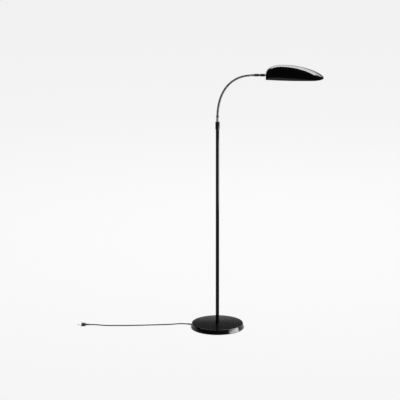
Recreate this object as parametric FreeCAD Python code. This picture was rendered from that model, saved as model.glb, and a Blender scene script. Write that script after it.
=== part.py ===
import FreeCAD, Part
import os
from math import cos, pi, radians, sin, sqrt, tan

# Gooseneck reading floor lamp, in millimetres, +Z up. The origin is on the floor at the
# centre of the base, and the shade points along +X.

V = FreeCAD.Vector
ORIGIN = V(0, 0, 0)
UP = V(0, 0, 1)
FORWARD = V(1, 0, 0)
ACROSS = V(0, 1, 0)

# ---- driving dimensions ----

# fits
thread_clearance = 0.06        # radial, between a thread's plain stand-in and its hole
slip_clearance = 0.1           # radial, where one piece slides into another
running_clearance = 0.06       # radial, swivel and switch shafts
moving_gap = 0.3               # between faces of pieces that move past each other

# base
base_rim_radius = 122.8        # widest line of the cover
base_side_inset = 5.8          # edge of the flat top, inside the rim
base_foot_tuck = 1.2           # bottom edge of the cover, inside the rim
base_height = 23.0
base_rim_z = 3.2               # height of the widest line
base_edge_round = 0.9          # chamfer along the top edge
cover_wall = 1.5
pad_thickness = 1.0            # the felt disc under the base lifts it by this much
pad_inset = 7.5                # edge of the felt, inside the bottom plate's
plate_thickness = 1.5
plate_clearance = 0.6          # radial, around the bottom plate
weight_clearance = 1.5         # radial, between the weight and the cover at its top
recess_radius = 22.0
plate_screw_circle_radius = 78.0
plate_screw_count = 3
plate_screw_start_angle = 30.0
plate_screw_radius = 2.0
plate_screw_head_radius = 3.6
plate_screw_length = 9.0

# stud that ties the pole to the base
stud_radius = 5.0
stud_bore_room = 1.7           # radial, around the lead inside the stud
washer_radius = 13.0
washer_thickness = 1.5
stud_nut_flats = 17.0
stud_nut_thickness = 5.0
stud_overhang = 0.5            # stud showing below its nut
stud_clearance = 0.4           # between the lead and the stud's foot

# pole
pole_radius = 8.0
pole_wall = 1.2
pole_length = 954.0
foot_bush_length = 22.0
top_bush_length = 22.0

# collar over the top of the pole
collar_radius = 10.0
collar_cap = 7.0               # thickness of its closed top
collar_skirt = 28.0            # length that covers the pole
collar_round = 3.0
grub_radius = 2.0
grub_height = 9.0              # above the collar's bottom edge

# root ferrule of the neck
ferrule_wall = 0.55            # outside the neck's own radius
ferrule_height = 22.0
ferrule_lip_wall = 2.05        # round the neck it holds
ferrule_lip_height = 5.0
ferrule_spigot_radius = 4.95
ferrule_spigot_length = 24.0

# gooseneck
neck_radius = 5.25             # over the ribs
neck_root_radius = 4.65        # between the ribs
neck_bore_radius = 3.0
neck_pitch = 23.0              # length of one rigid length of the neck
neck_bends = [4, 4.5, 4.5, 5.5, 6.5, 7.5, 8.5, 9.5, 10, 9.5, 8.5, 7, 4.5]   # degrees each adds
neck_ribs = 8                  # on each length
neck_foot_collar = 2.0         # plain stretch below the ribs
neck_head_collar = 1.8         # plain stretch above the ribs
ball_depth = 5.25              # centre of each ball end below the seam
ball_gap = 0.25                # between a ball end and the cup on it

# swivel between the neck and the head
end_ferrule_wall = 0.65        # round the neck it holds
end_ferrule_length = 23.3
end_ferrule_overlap = 4.3      # length of neck that it swallows
core_collar_radius = 5.1
core_collar_length = 4.1
core_radius = 4.0
core_bore_radius = 2.6
core_seat_length = 12.0        # fixed end, inside the end ferrule
core_spigot_length = 11.0      # turning end, inside the barrel
clip_radius = 5.2
clip_thickness = 1.6
barrel_radius = 6.4
barrel_length = 20.6
barrel_flange_radius = 7.2
barrel_flange_length = 4.4
barrel_front_wall = 6.0        # threaded length that holds the head nipple
nipple_radius = 4.7
nipple_bore_radius = 3.4
nipple_showing = 4.2           # between the barrel and the shade
knurl_count = 24
knurl_radius = 0.55

# shade
shade_length = 264.9
shade_width = 111.0            # widest
shade_back_width = 73.0        # at the flat back
shade_height = 60.3
shade_wall = 1.2
shade_crest_at = 78.0          # from the back to the highest point
shade_taper_length = 168.0     # from the back to where the sides run straight
shade_nose_length = 62.0       # rounded front end in plan
shade_back_lead = 3.0          # the back outline starts this far along its own curve
shade_nose_lead = 1.9          # and stops this far short of its sharp tip
shade_taper_power = 1.8        # how the sides run out from the back
shade_nose_power = 2.2         # roundness of the nose in plan
shade_back_power = 2.5         # fullness of the back seen from the side
shade_fall_power = 0.8         # of the long fall to the nose
rim_below_neck = 13.1          # rim plane below the swivel's axis

# lampholder and its bracket, distances from the shade's back
bracket_width = 20.0
bracket_thickness = 2.0
bracket_floor = 1.5            # above the rim plane
bracket_short_leg = 18.5
bracket_long_leg = 39.5
bracket_reach = 22.0
lock_nut_flats = 14.0
lock_nut_thickness = 3.5
lock_washer_radius = 8.0
lock_washer_thickness = 1.0
holder_above_rim = 29.0        # axis of bulb and holder above the rim plane
holder_radius = 13.5
holder_wall = 1.3
holder_cap_length = 17.0
holder_cap_round = 4.0
holder_sleeve_length = 30.0
holder_insert_thickness = 8.0
holder_nipple_radius = 4.7
holder_nipple_length = 15.0
holder_nipple_inside = 7.0     # length of it inside the cap
switch_shaft_radius = 2.0
switch_shaft_length = 8.0      # outside the cap
knob_radius = 5.5
knob_length = 9.0
knob_flutes = 12
knob_flute_radius = 0.7

# bulb
bulb_radius = 22.5
bulb_cap_radius = 6.9
bulb_cap_length = 24.0
bulb_neck_radius = 9.0
bulb_neck_length = 14.0
bulb_glass_wall = 1.0
bulb_inset = 1.5               # cap tip clear of the insert by the contact's height
contact_radius = 2.4

# cord
cord_radius = 2.5
cord_exit_angle = 166.0        # degrees from +X, seen from above
cord_exit_z = 6.1
lead_bend_radius = 5.5
lead_channel_width = 8.0
grommet_radius = 3.5
grommet_tip_radius = 3.0
grommet_flange_radius = 4.6
grommet_flange_thickness = 2.0
grommet_inner_length = 9.0     # from the rim line inwards
grommet_outer_length = 22.0    # tapered part outside
lead_end_depth = 3.0           # the stiff lead ends this far below the neck's foot

cord_exit_run = 27.0           # straight stretch out of the grommet, and into the plug

# the cord's route on the floor between those stretches: a list chosen by eye
cord_route = [
    (-202.0, 41.0, 2.9),
    (-246.0, 35.0, 2.6),
    (-296.0, 31.0, 2.6),
    (-348.0, 25.6, 2.6),
    (-402.0, 22.0, 2.6),
    (-462.0, 21.0, 2.6),
    (-518.0, 21.3, 2.7),
]
plug_cord_end = (-589.0, 23.2, 6.7)
plug_angle = 178.0             # heading of the cord's last stretch, in degrees from +X
plug_length = 37.0
plug_width = 26.0
plug_thickness = 13.0
plug_tail_length = 14.0        # tapered tail that grips the cord
plug_tail_radius = 4.0
pin_radius = 2.0
pin_spacing = 18.6
pin_length = 19.0

# ---- sizes that follow ----

base_top_radius = base_rim_radius - base_side_inset
base_foot_radius = base_rim_radius - base_foot_tuck
plate_radius = base_foot_radius - cover_wall - plate_clearance
weight_radius = base_top_radius - cover_wall - weight_clearance
stud_bore_radius = cord_radius + stud_bore_room
ferrule_radius = neck_radius + ferrule_wall
ferrule_lip_radius = neck_radius + slip_clearance + ferrule_lip_wall
end_ferrule_radius = neck_radius + slip_clearance + end_ferrule_wall
pole_bore_radius = pole_radius - pole_wall
pole_foot_z = base_height
pole_top_z = pole_foot_z + pole_length
collar_top_z = pole_top_z + collar_cap
collar_foot_z = pole_top_z - collar_skirt
lip_z = collar_top_z + ferrule_height
neck_start_z = lip_z
weight_foot_z = pad_thickness + plate_thickness
weight_top_z = base_height - cover_wall
stud_foot_z = cord_exit_z + cord_radius + stud_clearance
nut_top_z = stud_foot_z + stud_overhang + stud_nut_thickness
recess_top_z = nut_top_z + washer_thickness
stud_top_z = pole_foot_z + foot_bush_length
exit_direction = V(cos(radians(cord_exit_angle)), sin(radians(cord_exit_angle)), 0)
plug_direction = V(cos(radians(plug_angle)), sin(radians(plug_angle)), 0)


# ---- helpers ----

def export(name, shape):
    """Writes one node, after checking that it is sound."""
    if not shape.isValid():
        print("NOT VALID:", name)
    shape.exportStep("parts/" + name + ".step")
    return shape


def revolved(profile):
    """Solid of revolution about Z from a closed outline of (radius, z) points."""
    points = [V(r, 0, z) for r, z in profile]
    face = Part.Face(Part.makePolygon(points + points[:1]))
    return face.revolve(ORIGIN, UP, 360)


def disc(radius, low, high):
    """Upright cylinder between two heights."""
    return Part.makeCylinder(radius, high - low, V(0, 0, low))


def ring(outer, inner, low, high):
    """Upright tube between two heights."""
    return disc(outer, low, high).cut(disc(inner, low - 1, high + 1))


def hexagon(flats, low, high):
    """Upright hexagonal prism, by its width across flats."""
    corner = flats / sqrt(3)
    points = [V(corner * cos(k * pi / 3), corner * sin(k * pi / 3), low) for k in range(7)]
    return Part.Face(Part.makePolygon(points)).extrude(V(0, 0, high - low))


def placed(shape, point, direction):
    """Turns a shape made about +Z to lie along direction, with its origin at point."""
    moved = shape.copy()
    moved.Placement = FreeCAD.Placement(point, FreeCAD.Rotation(UP, direction))
    return moved


def circled(shape, count, radius, start=0.0):
    """Copies of an upright shape set round a circle about Z."""
    copies = []
    for k in range(count):
        angle = radians(start + 360.0 * k / count)
        copy = shape.copy()
        copy.translate(V(radius * cos(angle), radius * sin(angle), 0))
        copies.append(copy)
    return Part.Compound(copies)


def knurled(shape, radius, low, high, count, groove):
    """Cuts count straight grooves into an upright round shape."""
    return shape.cut(circled(disc(groove, low, high), count, radius))


# ---- base ----

def cover_outer_radius(z):
    """Radius of the cover's sloping side at a height between rim and top."""
    slope = (base_rim_radius - base_top_radius) / (base_height - base_rim_z)
    return base_rim_radius - slope * (z - base_rim_z)


def make_base_cover():
    top_edge_z = base_height - base_edge_round
    outer = [
        (0, base_height),
        (base_top_radius - base_edge_round, base_height),
        (cover_outer_radius(top_edge_z), top_edge_z),
        (base_rim_radius, base_rim_z),
        (base_foot_radius, pad_thickness),
    ]
    inner = [
        (base_foot_radius - cover_wall, pad_thickness),
        (base_rim_radius - cover_wall, base_rim_z),
        (cover_outer_radius(weight_top_z) - cover_wall, weight_top_z),
        (0, weight_top_z),
    ]
    cover = revolved(outer + inner)
    stud_hole = disc(stud_radius + slip_clearance, weight_top_z - 1, base_height + 1)
    exit_hole = Part.makeCylinder(grommet_radius + slip_clearance, 2 * cover_wall + 10)
    exit_point = exit_direction * (base_rim_radius - cover_wall - 6) + V(0, 0, cord_exit_z)
    return cover.cut([stud_hole, placed(exit_hole, exit_point, exit_direction)])


def plate_screw(grow):
    """One countersunk screw, head down in the plate; grow widens it into its own hole."""
    head_z = pad_thickness
    radius = plate_screw_radius + grow
    head_radius = plate_screw_head_radius + grow
    return revolved([
        (0, head_z),
        (head_radius, head_z),
        (radius, head_z + head_radius - radius),
        (radius, head_z + plate_screw_length + grow),
        (0, head_z + plate_screw_length + grow),
    ])


def make_screw_set(grow):
    return circled(plate_screw(grow), plate_screw_count, plate_screw_circle_radius,
                   plate_screw_start_angle)


def make_base_weight():
    weight = disc(weight_radius, weight_foot_z, weight_top_z)
    recess = disc(recess_radius, weight_foot_z - 1, recess_top_z)
    stud_hole = disc(stud_radius + slip_clearance, weight_foot_z, weight_top_z + 1)
    channel_top = cord_exit_z + lead_channel_width / 2
    channel = Part.makeBox(weight_radius + 5, lead_channel_width, channel_top - weight_foot_z + 1)
    channel.translate(V(0, -lead_channel_width / 2, weight_foot_z - 1))
    channel.rotate(ORIGIN, UP, cord_exit_angle)
    flange_pocket = grommet_flange_radius + slip_clearance
    pocket_start = base_rim_radius - grommet_inner_length - grommet_flange_thickness - 1
    pocket = placed(
        Part.makeCylinder(flange_pocket, grommet_inner_length + 5),
        exit_direction * pocket_start + V(0, 0, cord_exit_z), exit_direction)
    return weight.cut([recess, stud_hole, channel, pocket, make_screw_set(slip_clearance)])


def make_bottom_plate():
    plate = disc(plate_radius, pad_thickness, weight_foot_z)
    flange_notch = placed(
        Part.makeCylinder(grommet_flange_radius + slip_clearance, grommet_inner_length + 10),
        exit_direction * (base_rim_radius - grommet_inner_length - grommet_flange_thickness - 1)
        + V(0, 0, cord_exit_z), exit_direction)
    return plate.cut([make_screw_set(slip_clearance), flange_notch])


def make_felt_pad():
    return disc(plate_radius - pad_inset, 0, pad_thickness)


def make_pole_stud():
    return ring(stud_radius, stud_bore_radius, stud_foot_z, stud_top_z)


def make_stud_washer():
    return ring(washer_radius, stud_radius + slip_clearance, nut_top_z, recess_top_z)


def make_stud_nut():
    nut = hexagon(stud_nut_flats, nut_top_z - stud_nut_thickness, nut_top_z)
    return nut.cut(disc(stud_radius + thread_clearance, 0, nut_top_z + 1))


def make_cord_grommet():
    """Moulded strain relief: a flange inside the wall and a tapered tail outside."""
    inner_end = -grommet_inner_length
    grommet = revolved([
        (0, inner_end - grommet_flange_thickness),
        (grommet_flange_radius, inner_end - grommet_flange_thickness),
        (grommet_flange_radius, inner_end),
        (grommet_radius, inner_end),
        (grommet_radius, 3),
        (grommet_tip_radius, grommet_outer_length),
        (0, grommet_outer_length),
    ])
    return placed(grommet, exit_direction * base_rim_radius + V(0, 0, cord_exit_z), exit_direction)


# ---- pole and collar ----

def make_pole_foot_bush():
    return ring(pole_bore_radius - slip_clearance, stud_radius + thread_clearance,
                pole_foot_z, stud_top_z)


def make_pole_tube():
    return ring(pole_radius, pole_bore_radius, pole_foot_z, pole_top_z)


def make_pole_top_bush():
    return ring(pole_bore_radius - slip_clearance, ferrule_spigot_radius + thread_clearance,
                pole_top_z - top_bush_length, pole_top_z)


def grub_hole(radius, start, end):
    """Cylinder for the grub screw, on the back of the collar."""
    return Part.makeCylinder(radius, end - start, V(0, start, collar_foot_z + grub_height), ACROSS)


def make_collar():
    collar = disc(collar_radius, collar_foot_z, collar_top_z)
    top_edges = [e for e in collar.Edges if e.BoundBox.ZMin > collar_top_z - 0.1]
    collar = collar.makeFillet(collar_round, top_edges)
    pocket = disc(pole_radius + slip_clearance, collar_foot_z - 1, pole_top_z)
    spigot_hole = disc(ferrule_spigot_radius + slip_clearance, pole_top_z - 1, collar_top_z + 1)
    screw_hole = grub_hole(grub_radius + thread_clearance, 0, collar_radius + 1)
    return collar.cut([pocket, spigot_hole, screw_hole])


def make_grub_screw():
    """Socket set screw that bears on the pole."""
    screw = grub_hole(grub_radius, pole_radius + 0.05, collar_radius - 0.2)
    socket = grub_hole(grub_radius / 2, collar_radius - 1.2, collar_radius)
    return screw.cut(socket)


def make_neck_root_ferrule():
    spigot_foot_z = collar_top_z - ferrule_spigot_length
    ferrule = revolved([
        (neck_bore_radius, spigot_foot_z),
        (ferrule_spigot_radius, spigot_foot_z),
        (ferrule_spigot_radius, collar_top_z),
        (ferrule_radius, collar_top_z),
        (ferrule_radius, lip_z),
        (ferrule_lip_radius, lip_z + 0.8),
        (ferrule_lip_radius, lip_z + ferrule_lip_height - 0.6),
        (ferrule_lip_radius - 0.6, lip_z + ferrule_lip_height),
        (neck_radius + slip_clearance, lip_z + ferrule_lip_height),
        (neck_radius + slip_clearance, lip_z),
        (neck_bore_radius, lip_z),
    ])
    return ferrule


# ---- gooseneck ----

def walk(point, lean, distance, bend):
    """Goes along an arc that leans over by bend degrees on the way."""
    start = radians(lean)
    end = radians(lean + bend)
    radius = distance / (end - start)
    step = V(radius * (cos(start) - cos(end)), 0, radius * (sin(end) - sin(start)))
    return point + step, lean + bend


def tangent(lean):
    return V(sin(radians(lean)), 0, cos(radians(lean)))


def neck_seams():
    """Point and lean at the foot of each length of the neck, and at the last one's head."""
    seams = [(V(0, 0, neck_start_z), 0.0)]
    for bend in neck_bends:
        seams.append(walk(*seams[-1], neck_pitch, bend))
    return seams


def ball_centre(seam):
    point, lean = seam
    return point - tangent(lean) * ball_depth


def circle_wire(point, lean, radius):
    """Circle square to the neck, with its start kept in the plane of the bend."""
    wire = Part.Wire(Part.Circle(ORIGIN, UP, radius).toShape())
    wire.Placement = FreeCAD.Placement(point, FreeCAD.Rotation(ACROSS, lean))
    return wire


def rib_stations():
    """(distance, radius) of the circles along one length: plain ends and ribs between."""
    first = neck_foot_collar
    last = neck_pitch - neck_head_collar
    pitch = (last - first) / neck_ribs
    stations = [(0.0, neck_radius), (first, neck_radius)]
    for k in range(neck_ribs):
        rib = first + k * pitch
        stations += [(rib + 0.12 * pitch, neck_root_radius), (rib + 0.34 * pitch, neck_radius),
                     (rib + 0.66 * pitch, neck_radius), (rib + 0.88 * pitch, neck_root_radius)]
    return stations + [(last, neck_radius), (neck_pitch, neck_radius)]


def make_neck_length(index, seams):
    """One rigid length: ribbed outside, bored through, cup at the foot and ball at the head."""
    foot, lean = seams[index]
    head, head_lean = seams[index + 1]
    bend = neck_bends[index]
    ball_radius = sqrt(neck_radius ** 2 + ball_depth ** 2)
    beyond = tangent(head_lean) * (ball_radius - ball_depth + 1)
    has_ball = index < len(neck_bends) - 1

    rings = []
    bore = [circle_wire(foot - tangent(lean), lean, neck_bore_radius)]
    for distance, radius in rib_stations():
        point, here = (foot, lean)
        if distance > 0:
            point, here = walk(foot, lean, distance, bend * distance / neck_pitch)
        rings.append(circle_wire(point, here, radius))
        if radius == neck_radius:
            bore.append(circle_wire(point, here, neck_bore_radius))
    if has_ball:
        rings.append(circle_wire(head + beyond, head_lean, neck_radius))
    bore.append(circle_wire(head + beyond * 2, head_lean, neck_bore_radius))
    length = Part.makeLoft(rings, True, True).cut(Part.makeLoft(bore, True, True))

    if has_ball:
        centre = ball_centre(seams[index + 1])
        outside = Part.makeCylinder(neck_radius + 2, ball_radius + 3, centre, tangent(head_lean))
        length = length.cut(outside.cut(Part.makeSphere(ball_radius, centre)))
    if index > 0:
        length = length.cut(Part.makeSphere(ball_radius + ball_gap, ball_centre(seams[index])))
    return length.Solids[0]


# ---- swivel, made about +Z and turned to lie along +X ----

def swivel_start(seams):
    """Back face of the end ferrule, on the swivel's axis."""
    head = seams[-1][0]
    return V(head.x - end_ferrule_overlap, 0, head.z)


def make_end_ferrule():
    core_seat = end_ferrule_length - core_seat_length
    ferrule = revolved([
        (neck_bore_radius, end_ferrule_overlap),
        (neck_radius + slip_clearance, end_ferrule_overlap),
        (neck_radius + slip_clearance, 0),
        (end_ferrule_radius - 0.4, 0),
        (end_ferrule_radius, 0.4),
        (end_ferrule_radius, end_ferrule_length - 0.4),
        (end_ferrule_radius - 0.4, end_ferrule_length),
        (core_radius + slip_clearance, end_ferrule_length),
        (core_radius + slip_clearance, core_seat),
        (neck_bore_radius, core_seat),
    ])
    return knurled(ferrule, end_ferrule_radius + knurl_radius * 0.4, end_ferrule_overlap,
                   end_ferrule_length - 3, knurl_count, knurl_radius)


def make_swivel_core():
    foot = end_ferrule_length - core_seat_length
    collar_end = end_ferrule_length + core_collar_length
    spigot_end = collar_end + core_spigot_length
    return revolved([
        (core_bore_radius, foot),
        (core_radius, foot),
        (core_radius, end_ferrule_length),
        (core_collar_radius, end_ferrule_length),
        (core_collar_radius, collar_end),
        (core_radius, collar_end),
        (core_radius, spigot_end),
        (core_bore_radius, spigot_end),
    ])


def barrel_foot():
    """Distance of the barrel's back face from the end ferrule's back face."""
    return end_ferrule_length + core_collar_length + moving_gap


def clip_foot():
    """The clip sits on the last of the core's spigot."""
    return end_ferrule_length + core_collar_length + core_spigot_length - clip_thickness


def make_swivel_clip():
    clip = ring(clip_radius, core_radius + thread_clearance, clip_foot(), clip_foot() + clip_thickness)
    gap = Part.makeBox(clip_radius + 1, 2.4, clip_thickness + 2, V(0, -1.2, clip_foot() - 1))
    return clip.cut(gap)


def make_swivel_barrel():
    foot = barrel_foot()
    end = foot + barrel_length
    flange = end - barrel_flange_length
    pocket_foot = clip_foot() - moving_gap
    pocket_radius = clip_radius + moving_gap
    barrel = revolved([
        (core_radius + running_clearance, foot),
        (barrel_radius - 0.4, foot),
        (barrel_radius, foot + 0.4),
        (barrel_radius, flange - 0.5),
        (barrel_flange_radius, flange),
        (barrel_flange_radius, end - 0.5),
        (barrel_flange_radius - 0.5, end),
        (nipple_radius + thread_clearance, end),
        (nipple_radius + thread_clearance, end - barrel_front_wall),
        (pocket_radius, end - barrel_front_wall),
        (pocket_radius, pocket_foot),
        (core_radius + running_clearance, pocket_foot),
    ])
    return barrel


def shade_back():
    """Distance of the shade's back face from the end ferrule's back face."""
    return barrel_foot() + barrel_length + nipple_showing


def make_head_nipple():
    start = barrel_foot() + barrel_length - barrel_front_wall
    end = (shade_back() + shade_wall + bracket_thickness + lock_washer_thickness
           + lock_nut_thickness + 1)
    return ring(nipple_radius, nipple_bore_radius, start, end)


def make_shade_washer():
    foot = shade_back() + shade_wall + bracket_thickness
    return ring(lock_washer_radius, nipple_radius + slip_clearance, foot, foot + lock_washer_thickness)


def make_shade_lock_nut():
    foot = shade_back() + shade_wall + bracket_thickness + lock_washer_thickness
    nut = hexagon(lock_nut_flats, foot, foot + lock_nut_thickness)
    return nut.cut(disc(nipple_radius + thread_clearance, foot - 1, foot + lock_nut_thickness + 1))


# ---- shade, in its own frame: x from the back face, z from the rim plane ----

def shade_half_width(x):
    """Half the plan width: it tapers to the back and rounds off at the front."""
    half = shade_width / 2
    nose_start = shade_length + shade_nose_lead - shade_nose_length
    if x < shade_taper_length:
        back_half = shade_back_width / 2
        return half - (half - back_half) * (1 - x / shade_taper_length) ** shade_taper_power
    if x <= nose_start:
        return half
    share = (x - nose_start) / shade_nose_length
    return half * (1 - share ** shade_nose_power) ** (1 / shade_nose_power)


def shade_crest(x):
    """Height of the shade along its middle: a full back, then a long fall to the nose."""
    if x < shade_crest_at:
        share = (shade_crest_at - x) / (shade_crest_at + shade_back_lead)
        return shade_height * (1 - share ** shade_back_power) ** (1 / shade_back_power)
    share = (x - shade_crest_at) / (shade_length + shade_nose_lead - shade_crest_at)
    return shade_height * (1 - share ** 2) ** shade_fall_power


def shade_section(x):
    """Half ellipse over a straight rim line, square to X."""
    arc = Part.Arc(V(0, 1, 0), V(0, 0, 1), V(0, -1, 0)).toShape()
    line = Part.LineSegment(V(0, -1, 0), V(0, 1, 0)).toShape()
    stretch = FreeCAD.Matrix()
    stretch.A22 = shade_half_width(x)
    stretch.A33 = shade_crest(x)
    stretch.A14 = x
    return Part.Wire([arc, line]).transformGeometry(stretch)


def shade_stations():
    """Closely spaced towards both ends, where the outline turns fastest."""
    back = [shade_crest_at * (1 - cos(radians(90 * k / 8))) for k in range(8)]
    front_length = shade_length - shade_crest_at
    front = [shade_crest_at + front_length * sin(radians(90 * k / 13)) for k in range(14)]
    return back + front


def make_shade_form():
    """The shade's outer form as one solid lump."""
    return Part.makeLoft([shade_section(x) for x in shade_stations()], True, False)


def make_shade_shell(form):
    """The form hollowed from below, with the nipple's hole in its back."""
    shrink = FreeCAD.Matrix()
    shrink.A11 = (shade_length - 2 * shade_wall) / shade_length
    shrink.A22 = (shade_width - 2 * shade_wall) / shade_width
    shrink.A33 = (shade_height - shade_wall) / shade_height
    shrink.A14 = shade_wall
    hollow = form.transformGeometry(shrink)
    mouth = [f for f in hollow.Faces if f.BoundBox.ZMax < 0.01][0]
    hole = Part.makeCylinder(nipple_radius + slip_clearance, shade_wall + 2,
                             V(-1, 0, rim_below_neck), FORWARD)
    return form.cut([hollow, mouth.extrude(V(0, 0, -2)), hole])


def make_holder_bracket():
    """Stepped strap that lifts the lampholder above the nipple."""
    near = shade_wall
    half = bracket_width / 2
    floor = bracket_floor
    thick = bracket_thickness
    outline = [
        (near, floor), (near + bracket_reach, floor), (near + bracket_reach, floor + bracket_long_leg),
        (near + bracket_reach - thick, floor + bracket_long_leg),
        (near + bracket_reach - thick, floor + thick), (near + thick, floor + thick),
        (near + thick, floor + bracket_short_leg), (near, floor + bracket_short_leg),
    ]
    points = [V(x, -half, z) for x, z in outline]
    strap = Part.Face(Part.makePolygon(points + points[:1])).extrude(V(0, bracket_width, 0))
    nipple_hole = Part.makeCylinder(nipple_radius + slip_clearance, thick + 2,
                                    V(near - 1, 0, rim_below_neck), FORWARD)
    holder_hole = Part.makeCylinder(holder_nipple_radius + slip_clearance, thick + 2,
                                    V(near + bracket_reach - thick - 1, 0, holder_above_rim), FORWARD)
    return strap.cut([nipple_hole, holder_hole])


# ---- lampholder and bulb, made about +Z from the bracket's face ----

def make_holder_nipple():
    start = holder_nipple_inside - holder_nipple_length
    return ring(holder_nipple_radius, nipple_bore_radius, start, holder_nipple_inside)


def make_holder_nut():
    high = -bracket_thickness
    nut = hexagon(lock_nut_flats, high - lock_nut_thickness, high)
    return nut.cut(disc(holder_nipple_radius + thread_clearance, high - lock_nut_thickness - 1, high + 1))


def make_holder_cap():
    neck_depth = holder_nipple_inside
    cap = revolved([
        (holder_nipple_radius + thread_clearance, 0),
        (holder_radius - holder_cap_round, 0),
        (holder_radius, holder_cap_round),
        (holder_radius, holder_cap_length),
        (holder_radius - holder_wall, holder_cap_length),
        (holder_radius - holder_wall, neck_depth),
        (holder_nipple_radius + thread_clearance, neck_depth),
    ])
    shaft_hole = Part.makeCylinder(switch_shaft_radius + running_clearance, holder_radius + 2,
                                   V(0, 0, (neck_depth + holder_cap_length) / 2), ACROSS)
    return cap.cut(shaft_hole)


def make_holder_sleeve():
    low = holder_cap_length
    return ring(holder_radius, holder_radius - holder_wall, low, low + holder_sleeve_length)


def make_holder_insert():
    """Ceramic disc that closes the back of the sleeve and carries the contact."""
    low = holder_cap_length
    outer = holder_radius - holder_wall - slip_clearance
    insert = disc(outer, low, low + holder_insert_thickness)
    return insert.cut(disc(contact_radius + slip_clearance, low - 1, low + holder_insert_thickness + 1))


def make_centre_contact():
    low = holder_cap_length
    return disc(contact_radius, low, low + holder_insert_thickness + bulb_inset)


def make_threaded_sleeve():
    """Metal thread that the bulb's cap screws into."""
    low = holder_cap_length + holder_insert_thickness
    high = holder_cap_length + holder_sleeve_length - 2
    inner = bulb_cap_radius + thread_clearance
    outer = holder_radius - holder_wall - slip_clearance
    return revolved([
        (inner, low), (outer, low), (outer, low + 2), (inner + 0.8, low + 2),
        (inner + 0.8, high), (inner, high),
    ])


def bulb_foot():
    return holder_cap_length + holder_insert_thickness + bulb_inset


def make_bulb_cap():
    low = bulb_foot()
    high = low + bulb_cap_length
    return revolved([
        (0, low), (contact_radius, low), (bulb_cap_radius - 1, low + 2.2), (bulb_cap_radius, low + 3.4),
        (bulb_cap_radius, high), (0, high),
    ])


def bulb_form(inset):
    """Ball on a flared neck, with its wall moved inwards by inset."""
    low = bulb_foot() + bulb_cap_length
    flare_z = low + bulb_neck_length
    centre = flare_z + sqrt(bulb_radius ** 2 - bulb_neck_radius ** 2)
    ball = bulb_radius - inset
    neck = bulb_neck_radius - inset
    foot = bulb_cap_radius - inset
    neck_top = centre - sqrt(ball ** 2 - neck ** 2)
    top = V(0, 0, centre + ball)
    edges = [
        Part.LineSegment(V(0, 0, low), V(foot, 0, low)),
        Part.LineSegment(V(foot, 0, low), V(neck, 0, neck_top)),
        Part.Arc(V(neck, 0, neck_top), V(ball, 0, centre), top),
        Part.LineSegment(top, V(0, 0, low)),
    ]
    face = Part.Face(Part.Wire([e.toShape() for e in edges]))
    return face.revolve(ORIGIN, UP, 360)


def make_bulb_glass():
    """Golf-ball bulb, blown thin and open at the foot, where the cap holds it."""
    return bulb_form(0).cut(bulb_form(bulb_glass_wall))


def switch_axis_z():
    return (holder_nipple_inside + holder_cap_length) / 2


def make_switch_shaft():
    start = holder_radius - holder_wall - 4
    length = 4 + holder_wall + switch_shaft_length
    return Part.makeCylinder(switch_shaft_radius, length, V(0, start, switch_axis_z()), ACROSS)


def make_switch_knob():
    knob = disc(knob_radius, 0, knob_length)
    edges = [e for e in knob.Edges if e.BoundBox.ZMin > knob_length - 0.1]
    knob = knob.makeChamfer(1.0, edges)
    knob = knurled(knob, knob_radius, 1.5, knob_length + 1, knob_flutes, knob_flute_radius)
    knob = knob.cut(disc(switch_shaft_radius + thread_clearance, -1, knob_length - 2))
    start = holder_radius + switch_shaft_length - (knob_length - 2)
    return placed(knob, V(0, start, switch_axis_z()), ACROSS)


# ---- cord and plug ----

def rounded_path(points, radii):
    """Straight runs through the points, joined by tangent arcs of the given radii."""
    edges = []
    start = points[0]
    for before, corner, after, radius in zip(points, points[1:], points[2:], radii):
        into = (corner - before).normalize()
        out = (after - corner).normalize()
        half_turn = into.getAngle(out) / 2
        reach = radius * tan(half_turn)
        bisector = (out - into).normalize()
        middle = corner + bisector * (radius / cos(half_turn) - radius)
        arc_start = corner - into * reach
        arc_end = corner + out * reach
        edges.append(Part.LineSegment(start, arc_start).toShape())
        edges.append(Part.Arc(arc_start, middle, arc_end).toShape())
        start = arc_end
    edges.append(Part.LineSegment(start, points[-1]).toShape())
    return Part.Wire(edges)


def widest_radii(points):
    """The largest arcs that the runs allow: 0.45 of the shorter run at each point."""
    radii = []
    for before, corner, after in zip(points, points[1:], points[2:]):
        into = corner - before
        out = after - corner
        half_turn = into.getAngle(out) / 2
        radii.append(0.45 * min(into.Length, out.Length) / tan(half_turn))
    return radii


def tube_along(path, radius):
    """Round solid along a path, from its first edge's start."""
    first = path.OrderedEdges[0]
    start = first.valueAt(first.FirstParameter)
    heading = first.tangentAt(first.FirstParameter)
    profile = Part.Wire(Part.Circle(start, heading, radius).toShape())
    tube = path.makePipeShell([profile], True, False)
    print("tube volume", round(tube.Volume), "of", round(pi * radius ** 2 * path.Length),
          "length", round(path.Length, 1))
    return tube


def make_inner_lead():
    """The lead inside the lamp: in through the base and up the middle of the pole."""
    grommet_end = base_rim_radius - grommet_inner_length - grommet_flange_thickness
    level = V(0, 0, cord_exit_z)
    points = [exit_direction * grommet_end + level, level, V(0, 0, neck_start_z - lead_end_depth)]
    return tube_along(rounded_path(points, [lead_bend_radius]), cord_radius)


def cord_points():
    start = exit_direction * (base_rim_radius + grommet_outer_length) + V(0, 0, cord_exit_z)
    end = V(*plug_cord_end)
    return ([start, start + exit_direction * cord_exit_run] + [V(*p) for p in cord_route]
            + [end - plug_direction * cord_exit_run, end])


def make_cord():
    points = cord_points()
    radii = widest_radii(points)
    print("cord radii", [round(r) for r in radii])
    print("cord runs", [round((b - a).Length) for a, b in zip(points, points[1:])])
    return tube_along(rounded_path(points, radii), cord_radius)


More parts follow.
